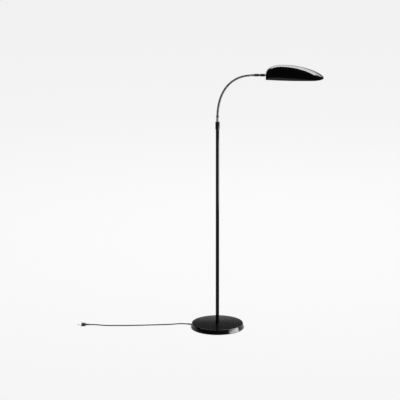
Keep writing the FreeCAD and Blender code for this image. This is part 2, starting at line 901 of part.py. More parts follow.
def laid_flat(shape):
    """Sets a shape made about +Z at the cord's end, with its Y across and level."""
    turned = shape.copy()
    turned.rotate(ORIGIN, ACROSS, 90)
    turned.rotate(ORIGIN, UP, plug_angle)
    turned.translate(V(*plug_cord_end))
    return turned


def make_plug_body():
    """Flat two-pin plug with a tapered tail."""
    tail = Part.makeCone(plug_tail_radius - 0.8, plug_tail_radius, plug_tail_length)
    wide = plug_width - plug_thickness
    high = plug_length - plug_tail_length
    block = Part.makeBox(plug_thickness, wide, high, V(-plug_thickness / 2, -wide / 2, plug_tail_length))
    ends = [Part.makeCylinder(plug_thickness / 2, high, V(0, side * wide / 2, plug_tail_length))
            for side in (-1, 1)]
    body = block.fuse(ends).removeSplitter()
    rims = [e for e in body.Edges if abs(e.BoundBox.ZMax - e.BoundBox.ZMin) < 0.01]
    body = body.makeChamfer(1.2, rims)
    return laid_flat(body.fuse(tail))


def make_plug_pins():
    pin = Part.makeCylinder(pin_radius, pin_length, V(0, 0, plug_length))
    pin = pin.makeFillet(pin_radius * 0.6, [e for e in pin.Edges
                                            if e.BoundBox.ZMin > plug_length + pin_length - 0.01])
    pins = []
    for side in (-1, 1):
        copy = pin.copy()
        copy.translate(V(0, side * pin_spacing / 2, 0))
        pins.append(copy)
    return laid_flat(Part.Compound(pins))


# ---- build ----

def build_base_and_pole():
    export("base_cover", make_base_cover())
    export("base_weight", make_base_weight())
    export("bottom_plate", make_bottom_plate())
    export("felt_pad", make_felt_pad())
    export("plate_screws", make_screw_set(0))
    export("pole_stud", make_pole_stud())
    export("stud_washer", make_stud_washer())
    export("stud_nut", make_stud_nut())
    export("cord_grommet", make_cord_grommet())
    export("inner_lead", make_inner_lead())
    export("pole_foot_bush", make_pole_foot_bush())
    export("pole_tube", make_pole_tube())
    export("pole_top_bush", make_pole_top_bush())
    export("collar", make_collar())
    export("collar_grub_screw", make_grub_screw())
    export("neck_root_ferrule", make_neck_root_ferrule())


def build_neck(seams):
    for index in range(len(neck_bends)):
        export("neck_length_%02d" % index, make_neck_length(index, seams))
    for index, seam in enumerate(seams[1:-1], 1):
        centre = ball_centre(seam)
        print("neck joint", index, round(centre.x, 4), round(centre.z, 4), "lean", round(seam[1], 3))


def build_head(seams):
    start = swivel_start(seams)
    for name, shape in [
        ("neck_end_ferrule", make_end_ferrule()),
        ("swivel_core", make_swivel_core()),
        ("swivel_clip", make_swivel_clip()),
        ("swivel_barrel", make_swivel_barrel()),
        ("head_nipple", make_head_nipple()),
        ("shade_washer", make_shade_washer()),
        ("shade_lock_nut", make_shade_lock_nut()),
    ]:
        export(name, placed(shape, start, FORWARD))

    corner = start + V(shade_back(), 0, -rim_below_neck)
    print("swivel axis z", round(start.z, 4), "shade corner", [round(v, 4) for v in corner])
    for name, shape in [
        ("shade_shell", make_shade_shell(make_shade_form())),
        ("holder_bracket", make_holder_bracket()),
    ]:
        shape.translate(corner)
        export(name, shape)

    holder = corner + V(shade_wall + bracket_reach, 0, holder_above_rim)
    print("switch axis", [round(v, 4) for v in holder + V(switch_axis_z(), 0, 0)])
    for name, shape in [
        ("holder_nipple", make_holder_nipple()),
        ("holder_nut", make_holder_nut()),
        ("holder_cap", make_holder_cap()),
        ("holder_sleeve", make_holder_sleeve()),
        ("holder_insert", make_holder_insert()),
        ("centre_contact", make_centre_contact()),
        ("threaded_sleeve", make_threaded_sleeve()),
        ("bulb_cap", make_bulb_cap()),
        ("bulb_glass", make_bulb_glass()),
        ("switch_shaft", make_switch_shaft()),
        ("switch_knob", make_switch_knob()),
    ]:
        turn = FreeCAD.Placement(holder, FreeCAD.Rotation(UP, FORWARD))
        shape.Placement = turn.multiply(shape.Placement)
        export(name, shape)


def build_cord():
    export("cord", make_cord())
    export("plug_body", make_plug_body())
    export("plug_pins", make_plug_pins())


os.makedirs("parts", exist_ok=True)
neck_line = neck_seams()
build_base_and_pole()
build_neck(neck_line)
build_head(neck_line)
build_cord()
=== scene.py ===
"""Gooseneck reading lamp: a floor lamp with a round base, a thin pole, a flexible ribbed neck
and a long half-shell shade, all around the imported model."""

import math

import bmesh
import bpy
from bpy.props import FloatProperty, FloatVectorProperty, IntProperty, PointerProperty
from mathutils import Matrix, Vector


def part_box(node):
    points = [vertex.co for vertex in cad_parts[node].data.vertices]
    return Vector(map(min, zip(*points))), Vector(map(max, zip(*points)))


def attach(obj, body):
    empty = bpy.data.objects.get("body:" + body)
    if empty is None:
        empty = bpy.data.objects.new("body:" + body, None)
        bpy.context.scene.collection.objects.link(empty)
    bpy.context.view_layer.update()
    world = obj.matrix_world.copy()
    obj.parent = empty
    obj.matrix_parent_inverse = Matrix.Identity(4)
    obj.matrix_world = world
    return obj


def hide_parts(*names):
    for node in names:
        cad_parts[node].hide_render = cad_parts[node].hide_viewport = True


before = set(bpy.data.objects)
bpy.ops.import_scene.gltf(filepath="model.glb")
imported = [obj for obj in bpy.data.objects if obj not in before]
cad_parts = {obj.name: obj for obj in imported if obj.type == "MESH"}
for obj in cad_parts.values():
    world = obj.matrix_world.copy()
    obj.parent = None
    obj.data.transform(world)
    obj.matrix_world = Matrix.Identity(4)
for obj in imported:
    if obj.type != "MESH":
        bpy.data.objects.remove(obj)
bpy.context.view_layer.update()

bl_info = {
    "name": "Gooseneck reading lamp",
    "version": (1, 0, 0),
    "blender": (4, 5, 0),
    "location": "View3D > Sidebar > Reading lamp",
    "description": "Builds a gooseneck reading floor lamp piece by piece around its model",
    "category": "Object",
}

MM = 0.001
TAU = 2 * math.pi
UP = Vector((0, 0, 1))

# The neck, in millimetres: thirteen equal lengths, each bent by one of these angles, in degrees.
# A hinge's pivot lies BALL_DEPTH before the end of its length, with a groove on both sides.
NECK_START = 1006.0
NECK_LENGTH = 23.0
NECK_BENDS = (4, 4.5, 4.5, 5.5, 6.5, 7.5, 8.5, 9.5, 10, 9.5, 8.5, 7, 4.5)
BALL_DEPTH = 5.25
HINGE_GROOVE = 0.7
NECK_BORE = 3.4
NECK_SEGMENTS = 48

# Heights on the pole, in millimetres.
POLE_FOOT = 23
POLE_TOP = 977
COLLAR_FOOT = 949
COLLAR_TOP = 984

# Heights and stations along the head, in millimetres.
FERRULE_X = 166.962
BARREL_X = 194.662
SWIVEL_Z = 1205.4696
SHADE_X = 219.4623
RIM_Z = 1192.3696
HOLDER_X = 242.6623
HOLDER_Z = 1221.3696
SWITCH_X = 254.6623

# The shade's outlines from above and from the side, in millimetres from its back.
SHADE_HALF_WIDTH = 55.5
SHADE_BACK_TAPER = 19
SHADE_WIDEST = (168, 204.8)
SHADE_NOSE_RUN = 62
SHADE_HEIGHT = 60.3
SHADE_CREST_X = 78
SHADE_BACK_RUN = 81
SHADE_FALL_RUN = 188.8

# The cord's route over the floor, in millimetres.
CORD_ROUTE = (
    (-140.50, 35.03, 6.1), (-166.70, 41.56, 6.1), (-202, 41, 2.9), (-246, 35, 2.6),
    (-296, 31, 2.6), (-348, 25.6, 2.6), (-402, 22, 2.6), (-462, 21, 2.6),
    (-518, 21.3, 2.7), (-562.02, 22.26, 6.7), (-589, 23.2, 6.7),
)
EXIT_HEADING = math.radians(166)
PLUG_HEADING = math.radians(178)
PLUG_SEGMENTS = 72

# The studio, in metres and degrees.
CAMERA_PLACE = (-0.080, -40.0, 12.4586)
CAMERA_TILT = 16.4985
CAMERA_LENS = 819.6
FLOOR_REACH = 80.0
FLOOR_GLOW = 0.945
FLOOR_GLOW_SHARE = 0.93

# The area lights: name, azimuth, elevation, distance, width, height, radiance.
HEAD_AIM = Vector((0.34, 0, 1.22))
HEAD_LIGHTS = (
    ("top_softbox", 0, 56, 3.0, 3.2, 0.45, 17.0),
    ("high_softbox", 0, 44, 3.0, 3.2, 0.80, 10.0),
    ("back_softbox", 0, 26, 3.0, 3.2, 1.00, 4.5),
)
FOOT_AIM = Vector((0, 0, 0))
FOOT_LIGHTS = (
    ("side_softbox", 104, 5.7, 1.9, 1.7, 0.36, 20.0),
    ("tall_side_softbox", 104, 18.6, 2.0, 1.7, 0.50, 5.0),
    ("low_back_panel", 0, 8.0, 0.95, 1.6, 0.25, 0.45),
)


# ---------------------------------------------------------------- sizes and colours


class LampSizes(bpy.types.PropertyGroup):
    """Sizes of the dressed pieces"""
    base_rim_radius: FloatProperty(
        name="Base radius", description="Widest radius of the base, just above the floor",
        default=0.1228, unit="LENGTH")
    base_top_radius: FloatProperty(
        name="Base top radius", description="Radius where the base's side meets its top",
        default=0.117, unit="LENGTH")
    base_height: FloatProperty(
        name="Base height", description="Height of the base's flat top", default=0.023,
        unit="LENGTH")
    pole_radius: FloatProperty(
        name="Pole radius", description="Outer radius of the pole", default=0.008, unit="LENGTH")
    collar_radius: FloatProperty(
        name="Collar radius", description="Outer radius of the collar over the pole's top",
        default=0.010, unit="LENGTH")
    neck_radius: FloatProperty(
        name="Neck radius", description="Radius over the neck's ribs", default=0.00525,
        unit="LENGTH")
    neck_rib_pitch: FloatProperty(
        name="Rib pitch", description="Distance from one turn of the neck's ribs to the next",
        default=0.0023, unit="LENGTH")
    neck_rib_depth: FloatProperty(
        name="Rib depth", description="Depth of the groove between two ribs",
        default=0.0006, unit="LENGTH")
    shade_length: FloatProperty(
        name="Shade length", description="Length of the shade from its back to its nose",
        default=0.2649, unit="LENGTH")
    shade_wall: FloatProperty(
        name="Shade wall", description="Thickness of the shade's wall", default=0.0012,
        unit="LENGTH")
    bulb_radius: FloatProperty(
        name="Bulb radius", description="Radius of the bulb's ball", default=0.0225, unit="LENGTH")
    cord_diameter: FloatProperty(
        name="Cord diameter", description="Diameter of the cord's sheath", default=0.005,
        unit="LENGTH")
    turns: IntProperty(
        name="Roundness", description="Facets round a turned piece", default=128, min=24)


def colour_property(name, description, default):
    return FloatVectorProperty(
        name=name, description=description, default=default, subtype="COLOR", size=3,
        min=0, max=1)


class LampFinishes(bpy.types.PropertyGroup):
    """Colours of the finishes"""
    enamel: colour_property("Enamel", "Gloss enamel of the base, pole and shade",
                            (0.0025, 0.0025, 0.0027))
    shade_inside: colour_property("Shade inside", "Reflecting paint inside the shade",
                                  (0.78, 0.78, 0.76))
    neck: colour_property("Neck", "Metal of the ribbed neck", (0.15, 0.15, 0.154))
    fitting: colour_property("Fittings", "Dark plating of the swivel", (0.04, 0.04, 0.042))
    steel: colour_property("Plated steel", "Screws, nuts and brackets", (0.55, 0.55, 0.54))
    felt: colour_property("Felt", "Felt disc under the base", (0.03, 0.03, 0.03))
    cord: colour_property("Cord", "Sheath of the cord", (0.003, 0.003, 0.0032))
    plastic: colour_property("Plastic", "Moulded plastic pieces", (0.008, 0.008, 0.0085))
    glass: colour_property("Glass", "Opal glass of the bulb", (0.9, 0.9, 0.87))
    floor: colour_property("Floor", "Studio floor", (0.9, 0.9, 0.9))


def sizes():
    return bpy.context.scene.lamp_sizes


def finishes():
    return bpy.context.scene.lamp_finishes


# ---------------------------------------------------------------- mesh making


def skin(name, rings, wrap=False, sharp=35.0):
    """A piece over closed rings of points. wrap joins the last ring to the first."""
    count = len(rings[0])
    points = [p for ring in rings for p in ring]
    faces = []
    for i in range(len(rings) if wrap else len(rings) - 1):
        here, there = i * count, (i + 1) % len(rings) * count
        for j in range(count):
            k = (j + 1) % count
            faces.append((here + j, here + k, there + k, there + j))
    return solid(name, points, faces, sharp)


def solid(name, points, faces, sharp=35.0, marks=None):
    """A piece from points and faces, with doubled points merged and its faces turned outwards.
    marks gives each face its place in the piece's list of materials."""
    mesh = bpy.data.meshes.new(name)
    mesh.from_pydata([tuple(p) for p in points], [], faces)
    if marks:
        mesh.polygons.foreach_set("material_index", marks)
    work = bmesh.new()
    work.from_mesh(mesh)
    bmesh.ops.remove_doubles(work, verts=work.verts, dist=1e-6)
    bmesh.ops.dissolve_degenerate(work, edges=work.edges, dist=1e-7)
    bmesh.ops.recalc_face_normals(work, faces=work.faces)
    work.to_mesh(mesh)
    work.free()
    mesh.shade_smooth()
    mesh.set_sharp_from_angle(angle=math.radians(sharp))
    piece = bpy.data.objects.new(name, mesh)
    bpy.context.scene.collection.objects.link(piece)
    return piece


def rounded(corners, closed=False, steps=6):
    """A path through (radius, height, rounding) corners, with an arc at each rounded one."""
    path = []
    last = len(corners) - 1
    for i, (r, h, rounding) in enumerate(corners):
        if rounding <= 0 or (not closed and i in (0, last)):
            path.append((r, h))
            continue
        here = Vector((r, h))
        before = (Vector(corners[i - 1][:2]) - here).normalized()
        after = (Vector(corners[(i + 1) % len(corners)][:2]) - here).normalized()
        half = before.angle(after) / 2
        centre = here + (before + after).normalized() * rounding / math.sin(half)
        first = here + before * rounding / math.tan(half) - centre
        second = here + after * rounding / math.tan(half) - centre
        sweep = first.angle(second)
        for step in range(steps + 1):
            t = step / steps
            arc = first * math.sin((1 - t) * sweep) + second * math.sin(t * sweep)
            path.append(tuple(centre + arc / math.sin(sweep)))
    return path


def turned(name, path, place, closed=False, segments=None, relief=None):
    """A (radius, height) path turned about the local Z of place. relief(r, h, turn) gives the
    radius."""
    segments = segments or sizes().turns
    rings = []
    for r, h in path:
        ring = []
        for j in range(segments):
            turn = TAU * j / segments
            radius = relief(r, h, turn) if relief else r
            ring.append(place @ Vector((radius * math.cos(turn), radius * math.sin(turn), h)))
        rings.append(ring)
    return skin(name, rings, wrap=closed)


def divided(path, low, high, count):
    """The path with its straight run from height low to high cut into count parts."""
    out = []
    for (r0, h0), (r1, h1) in zip(path, path[1:]):
        out.append((r0, h0))
        if {round(h0, 7), round(h1, 7)} == {round(low, 7), round(high, 7)}:
            for step in range(1, count):
                t = step / count
                out.append((r0 + (r1 - r0) * t, h0 + (h1 - h0) * t))
    out.append(path[-1])
    return out


def scaled(corners):
    """Corners in metres from corners in millimetres."""
    return [(r * MM, h * MM, rounding * MM) for r, h, rounding in corners]


def upright():
    """Local Z runs up from the origin."""
    return Matrix.Identity(4)


def pointed(start, heading):
    """Local Z runs from start along heading."""
    return Matrix.Translation(start) @ heading.to_track_quat("Z", "Y").to_matrix().to_4x4()


def along_x(x, z):
    """Local Z runs along +X from (x, 0, z), in millimetres."""
    return Matrix.Translation((x * MM, 0, z * MM)) @ Matrix.Rotation(math.pi / 2, 4, "Y")


def thread(pitch, depth, low, high):
    """A relief that cuts a screw thread between two heights."""
    def relief(r, h, turn):
        if not low <= h <= high or r < depth * 3:
            return r
        fade = min(1, (h - low) / pitch, (high - h) / pitch)
        phase = (h / pitch - turn / TAU) % 1
        return r - depth * fade * (1 - math.cos(TAU * phase)) / 2
    return relief


def flutes(count, depth, low, high, edge):
    """A relief that cuts straight flutes between two heights."""
    def relief(r, h, turn):
        if not low <= h <= high or r < depth * 4:
            return r
        fade = min(1, (h - low) / edge, (high - h) / edge)
        return r - depth * fade * max(0.0, math.cos(count * turn)) ** 0.7
    return relief


def neck_point(s):
    """Centre and direction of the neck, s millimetres from its root."""
    x, z, lean = 0.0, NECK_START, 0.0
    for bend in NECK_BENDS:
        bend = math.radians(bend)
        run = min(max(s, 0.0), NECK_LENGTH)
        radius = NECK_LENGTH / bend
        end = lean + run / radius
        x += radius * (math.cos(lean) - math.cos(end))
        z += radius * (math.sin(end) - math.sin(lean))
        lean = end
        s -= NECK_LENGTH
        if s <= 0:
            break
    return Vector((x, 0, z)) * MM, Vector((math.sin(lean), 0, math.cos(lean)))


# ---------------------------------------------------------------- finishes


def nodes_of(material):
    """The emptied node tree of a material or a world."""
    material.use_nodes = True
    tree = material.node_tree
    tree.nodes.clear()
    return tree


def feed(tree, socket, value):
    """Links an output to a socket, or sets the socket to a value."""
    if isinstance(value, bpy.types.NodeSocket):
        tree.links.new(value, socket)
    else:
        socket.default_value = value


def linked(tree, kind, settings=None, **inputs):
    """A node with its named inputs fed."""
    node = tree.nodes.new(kind)
    for key, value in (settings or {}).items():
        setattr(node, key, value)
    for key, value in inputs.items():
        feed(tree, node.inputs[key.replace("_", " ")], value)
    return node


def new_group(name, inputs, outputs):
    """A shader node group with float inputs (name, default) and named float outputs."""
    group = bpy.data.node_groups.new(name, "ShaderNodeTree")
    for label, default in inputs:
        socket = group.interface.new_socket(name=label, in_out="INPUT",
                                            socket_type="NodeSocketFloat")
        socket.default_value = default
    for label in outputs:
        group.interface.new_socket(name=label, in_out="OUTPUT", socket_type="NodeSocketFloat")
    return group, group.nodes.new("NodeGroupInput"), group.nodes.new("NodeGroupOutput")


def maths(tree, operation, *values):
    """The output of a math node."""
    node = linked(tree, "ShaderNodeMath", {"operation": operation})
    for socket, value in zip(node.inputs, values):
        feed(tree, socket, value)
    return node.outputs[0]


def place_of(tree):
    """The object coordinates."""
    return tree.nodes.new("ShaderNodeTexCoord").outputs["Object"]


def tinted(tree, factor, colour, low, high):
    """A colour whose brightness goes from low to high times its own as the factor rises."""
    mix = linked(tree, "ShaderNodeMix", {"data_type": "RGBA"}, Factor=factor)
    for socket, shade in zip(mix.inputs[6:8], (low, high)):
        socket.default_value = (*[c * shade for c in colour], 1)
    return mix.outputs[2]


def put_out(tree, shader, kind="ShaderNodeOutputMaterial"):
    """Ends a tree with its output."""
    linked(tree, kind, Surface=shader.outputs[0])


def enamel_skin():
    """Slow ripple and fine dust of a sprayed gloss coat."""
    group, given, put = new_group(
        "Enamel skin", [("Ripple Scale", 180.0), ("Dust Scale", 900.0)], ["Height", "Mask"])
    where = place_of(group)
    ripple = linked(group, "ShaderNodeTexNoise", Vector=where, Scale=given.outputs["Ripple Scale"],
                    Detail=1.0, Roughness=0.4)
    dust = linked(group, "ShaderNodeTexNoise", Vector=where, Scale=given.outputs["Dust Scale"],
                  Detail=2.0, Roughness=0.6)
    specks = linked(group, "ShaderNodeMapRange", Value=dust.outputs["Fac"],
                    From_Min=0.62, From_Max=0.80)
    cloud = linked(group, "ShaderNodeTexNoise", Vector=where, Scale=14.0, Detail=3.0)
    mask = maths(group, "ADD", maths(group, "MULTIPLY", specks.outputs[0], 0.5),
                 maths(group, "MULTIPLY", cloud.outputs["Fac"], 0.6))
    group.links.new(ripple.outputs["Fac"], put.inputs["Height"])
    group.links.new(mask, put.inputs["Mask"])
    return group


def turned_metal():
    """Fine rings left by turning and polishing, with faint smudges."""
    group, given, put = new_group(
        "Turned metal", [("Line Scale", 1600.0), ("Smudge Scale", 60.0)], ["Height", "Mask"])
    where = place_of(group)
    lines = linked(group, "ShaderNodeTexNoise", Vector=where, Scale=given.outputs["Line Scale"],
                   Detail=2.0, Roughness=0.7)
    smudge = linked(group, "ShaderNodeTexNoise", Vector=where,
                    Scale=given.outputs["Smudge Scale"], Detail=4.0, Roughness=0.6)
    group.links.new(lines.outputs["Fac"], put.inputs["Height"])
    group.links.new(smudge.outputs["Fac"], put.inputs["Mask"])
    return group


def moulded_grain():
    """Small pebbled grain of moulded plastic, with a slow change of shade."""
    group, given, put = new_group("Moulded grain", [("Grain Scale", 1400.0)], ["Height", "Mask"])
    where = place_of(group)
    pebbles = linked(group, "ShaderNodeTexVoronoi", {"feature": "SMOOTH_F1"}, Vector=where,
                     Scale=given.outputs["Grain Scale"])
    slow = linked(group, "ShaderNodeTexNoise", Vector=where, Scale=35.0, Detail=3.0)
    group.links.new(pebbles.outputs["Distance"], put.inputs["Height"])
    group.links.new(slow.outputs["Fac"], put.inputs["Mask"])
    return group


def finish_material(name, group, colour, shade, roughness, depth, scales=None, **sockets):
    """A material whose colour, roughness and bump vary with the group's mask and height."""
    material = bpy.data.materials.new(name)
    tree = nodes_of(material)
    surface = tree.nodes.new("ShaderNodeGroup")
    surface.node_tree = group
    for label, value in (scales or {}).items():
        surface.inputs[label].default_value = value
    tint = tinted(tree, surface.outputs["Mask"], colour, 1, shade)
    rough = linked(tree, "ShaderNodeMapRange", Value=surface.outputs["Mask"],
                   To_Min=roughness[0], To_Max=roughness[1])
    bump = linked(tree, "ShaderNodeBump", Height=surface.outputs["Height"], Strength=0.6,
                  Distance=depth)
    shader = linked(tree, "ShaderNodeBsdfPrincipled", Base_Color=tint,
                    Roughness=rough.outputs[0], Normal=bump.outputs[0], **sockets)
    put_out(tree, shader)
    material.diffuse_color = (*colour, 1)
    return material


def felt_material(colour):
    """Short pressed fibres, slightly uneven in colour."""
    material = bpy.data.materials.new("pressed_felt")
    tree = nodes_of(material)
    where = place_of(tree)
    fibres = linked(tree, "ShaderNodeTexNoise", Vector=where, Scale=1100.0, Detail=6.0,
                    Roughness=0.75, Distortion=2.0)
    patches = linked(tree, "ShaderNodeTexNoise", Vector=where, Scale=40.0, Detail=3.0)
    blend = maths(tree, "MULTIPLY", fibres.outputs["Fac"], patches.outputs["Fac"])
    tint = tinted(tree, blend, colour, 0.6, 2.2)
    bump = linked(tree, "ShaderNodeBump", Height=fibres.outputs["Fac"], Strength=0.9,
                  Distance=0.0004)
    shader = linked(tree, "ShaderNodeBsdfPrincipled", Base_Color=tint, Roughness=0.95,
                    Sheen_Weight=0.4, Normal=bump.outputs[0])
    put_out(tree, shader)
    return material


MATERIALS = {}


def make_materials():
    """Makes one material for each slot, and one for the shade's inside."""
    tones = finishes()
    coat, metal, grain = enamel_skin(), turned_metal(), moulded_grain()
    for slot_name, ripple, gloss, roughness in (
        ("base_enamel", 70.0, 1.35, (0.14, 0.22)), ("pole_enamel", 60.0, 1.2, (0.08, 0.15)),
        ("shade_enamel", 70.0, 1.35, (0.07, 0.13)),
    ):
        MATERIALS[slot_name] = finish_material(
            slot_name + "_gloss", coat, tones.enamel, 1.6, roughness, 0.000003,
            {"Ripple Scale": ripple}, IOR=gloss)
    MATERIALS["shade_inside"] = finish_material(
        "shade_inside_paint", coat, tones.shade_inside, 0.94, (0.30, 0.42), 0.00003)
    for slot_name, colour, shade, roughness, depth, line in (
        ("neck_metal", tones.neck, 0.80, (0.38, 0.50), 0.00002, 1400.0),
        ("fitting_metal", tones.fitting, 0.80, (0.42, 0.54), 0.00002, 1600.0),
        ("plated_steel", tones.steel, 0.88, (0.20, 0.34), 0.00002, 1800.0),
        ("ballast_iron", (0.06, 0.06, 0.06), 1.5, (0.62, 0.82), 0.00030, 420.0),
        ("contact_brass", (0.78, 0.62, 0.32), 0.85, (0.24, 0.38), 0.00002, 1500.0),
        ("bulb_cap_metal", (0.75, 0.75, 0.75), 0.88, (0.24, 0.36), 0.00002, 1500.0),
        ("pin_metal", (0.72, 0.70, 0.64), 0.90, (0.16, 0.28), 0.00002, 1500.0),
    ):
        MATERIALS[slot_name] = finish_material(
            slot_name + "_finish", metal, colour, shade, roughness, depth,
            {"Line Scale": line}, Metallic=1.0)
    for slot_name, colour, shade, roughness, depth, scale, level in (
        ("black_plastic", tones.plastic, 1.5, (0.36, 0.48), 0.00004, 1500.0, 0.25),
        ("cord_sheath", tones.cord, 1.5, (0.50, 0.62), 0.00003, 1900.0, 0.1),
        ("holder_plastic", tones.plastic, 1.3, (0.16, 0.24), 0.00002, 1100.0, 0.4),
        ("white_ceramic", (0.85, 0.84, 0.80), 0.94, (0.22, 0.34), 0.00003, 700.0, 0.5),
    ):
        MATERIALS[slot_name] = finish_material(
            slot_name + "_finish", grain, colour, shade, roughness, depth, {"Grain Scale": scale},
            Specular_IOR_Level=level)
    MATERIALS["opal_glass"] = finish_material(
        "opal_glass_finish", coat, tones.glass, 0.97, (0.12, 0.20), 0.00001,
        Coat_Weight=0.4, Coat_Roughness=0.05)
    MATERIALS["felt"] = felt_material(tones.felt)


def dress(piece, body, slot_name, *nodes):
    """Gives a piece its slot's material and its body, and hides the nodes that it stands for."""
    piece.data.materials.append(MATERIALS[slot_name])
    if nodes:
        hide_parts(*nodes)
    if body:
        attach(piece, body)
    return piece


def keep(slot_name, *nodes):
    """Gives nodes that keep their own shape a material."""
    for node in nodes:
        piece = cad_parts[node]
        if not piece.material_slots:
            piece.data.materials.append(None)
        for material_slot in piece.material_slots:
            material_slot.material = MATERIALS[slot_name]


# ---------------------------------------------------------------- pieces


def softbox(aim, spared, name, azimuth, elevation, distance, width, height, radiance):
    """An area light that faces aim. Azimuth 0 stands behind the lamp (+Y) and 90 at its right
    (+X). It doesn't light the objects of the spared collection."""
    turn, rise = math.radians(azimuth), math.radians(elevation)
    level = math.cos(rise)
    away = Vector((math.sin(turn) * level, math.cos(turn) * level, math.sin(rise)))
    data = bpy.data.lights.new(name, "AREA")
    data.shape = "RECTANGLE"
    data.size, data.size_y = width, height
    data.energy = radiance * math.pi * width * height
    light = bpy.data.objects.new(name, data)
    light.location = aim + away * distance
    light.rotation_mode = "QUATERNION"
    light.rotation_quaternion = away.to_track_quat("Z", "Y")
    light.visible_camera = False
    light.light_linking.receiver_collection = spared
    bpy.context.scene.collection.objects.link(light)


class StageOperator(bpy.types.Operator):
    """Set up the camera, the pale floor and the studio lights"""
    bl_idname = "lamp.stage"
    bl_label = "Stage"

    def execute(self, context):
        scene = context.scene
        self.camera(scene)
        self.world(scene)
        floor = self.floor()
        spared = bpy.data.collections.new("spared_by_low_lights")
        spared.objects.link(floor)
        spared.collection_objects[0].light_linking.link_state = "EXCLUDE"
        for light in HEAD_LIGHTS:
            softbox(HEAD_AIM, None, *light)
        for light in FOOT_LIGHTS:
            softbox(FOOT_AIM, spared, *light)
        scene.view_settings.view_transform = "Standard"
        return {"FINISHED"}

    @staticmethod
    def camera(scene):
        """A long lens that looks down at the lamp from the front."""
        data = bpy.data.cameras.new("camera")
        data.lens = CAMERA_LENS
        data.sensor_width = 36.0
        data.clip_start = 1.0
        data.clip_end = 200.0
        camera = bpy.data.objects.new("camera", data)
        camera.location = CAMERA_PLACE
        camera.rotation_euler = (math.radians(90 - CAMERA_TILT), 0, 0)
        scene.collection.objects.link(camera)
        scene.camera = camera

    def floor(self):
        """A wide level floor under the lamp."""
        corners = [(x * FLOOR_REACH, y * FLOOR_REACH, 0)
                   for x, y in ((-1, -1), (1, -1), (1, 1), (-1, 1))]
        floor = solid("studio_floor", corners, [(0, 1, 2, 3)])
        floor.data.materials.append(self.floor_material())
        return floor

    @staticmethod
    def floor_material():
        """A pale floor that shows at its own colour and still takes the lamp's shadow."""
        material = bpy.data.materials.new("pale_floor")
        tree = nodes_of(material)
        paint = linked(tree, "ShaderNodeBsdfDiffuse", Color=(*finishes().floor, 1))
        glow = linked(tree, "ShaderNodeEmission", Color=(*[FLOOR_GLOW] * 3, 1), Strength=1.0)
        rays = tree.nodes.new("ShaderNodeLightPath")
        seen = maths(tree, "ADD", rays.outputs["Is Camera Ray"],
                     maths(tree, "ADD", rays.outputs["Is Glossy Ray"],
                           rays.outputs["Is Transmission Ray"]))
        mix = linked(tree, "ShaderNodeMixShader",
                     Fac=maths(tree, "MULTIPLY", seen, FLOOR_GLOW_SHARE))
        tree.links.new(paint.outputs[0], mix.inputs[1])
        tree.links.new(glow.outputs[0], mix.inputs[2])
        below = tree.nodes.new("ShaderNodeNewGeometry").outputs["Backfacing"]
        clear = tree.nodes.new("ShaderNodeBsdfTransparent")
        sided = linked(tree, "ShaderNodeMixShader", Fac=below)
        tree.links.new(mix.outputs[0], sided.inputs[1])
        tree.links.new(clear.outputs[0], sided.inputs[2])
        put_out(tree, sided)
        return material

    @staticmethod
    def world(scene):
        """Pale near the horizon, dim above."""
        world = bpy.data.worlds.new("studio")
        tree = nodes_of(world)
        where = tree.nodes.new("ShaderNodeTexCoord").outputs["Generated"]
        height = linked(tree, "ShaderNodeSeparateXYZ", Vector=where).outputs["Z"]
        ramp = linked(tree, "ShaderNodeMapRange", {"interpolation_type": "SMOOTHSTEP"},
                      Value=height, From_Min=0.03, From_Max=0.10, To_Min=0.92, To_Max=0.05)
        glow = linked(tree, "ShaderNodeBackground", Color=(1, 1, 1, 1), Strength=ramp.outputs[0])
        put_out(tree, glow, "ShaderNodeOutputWorld")
        scene.world = world


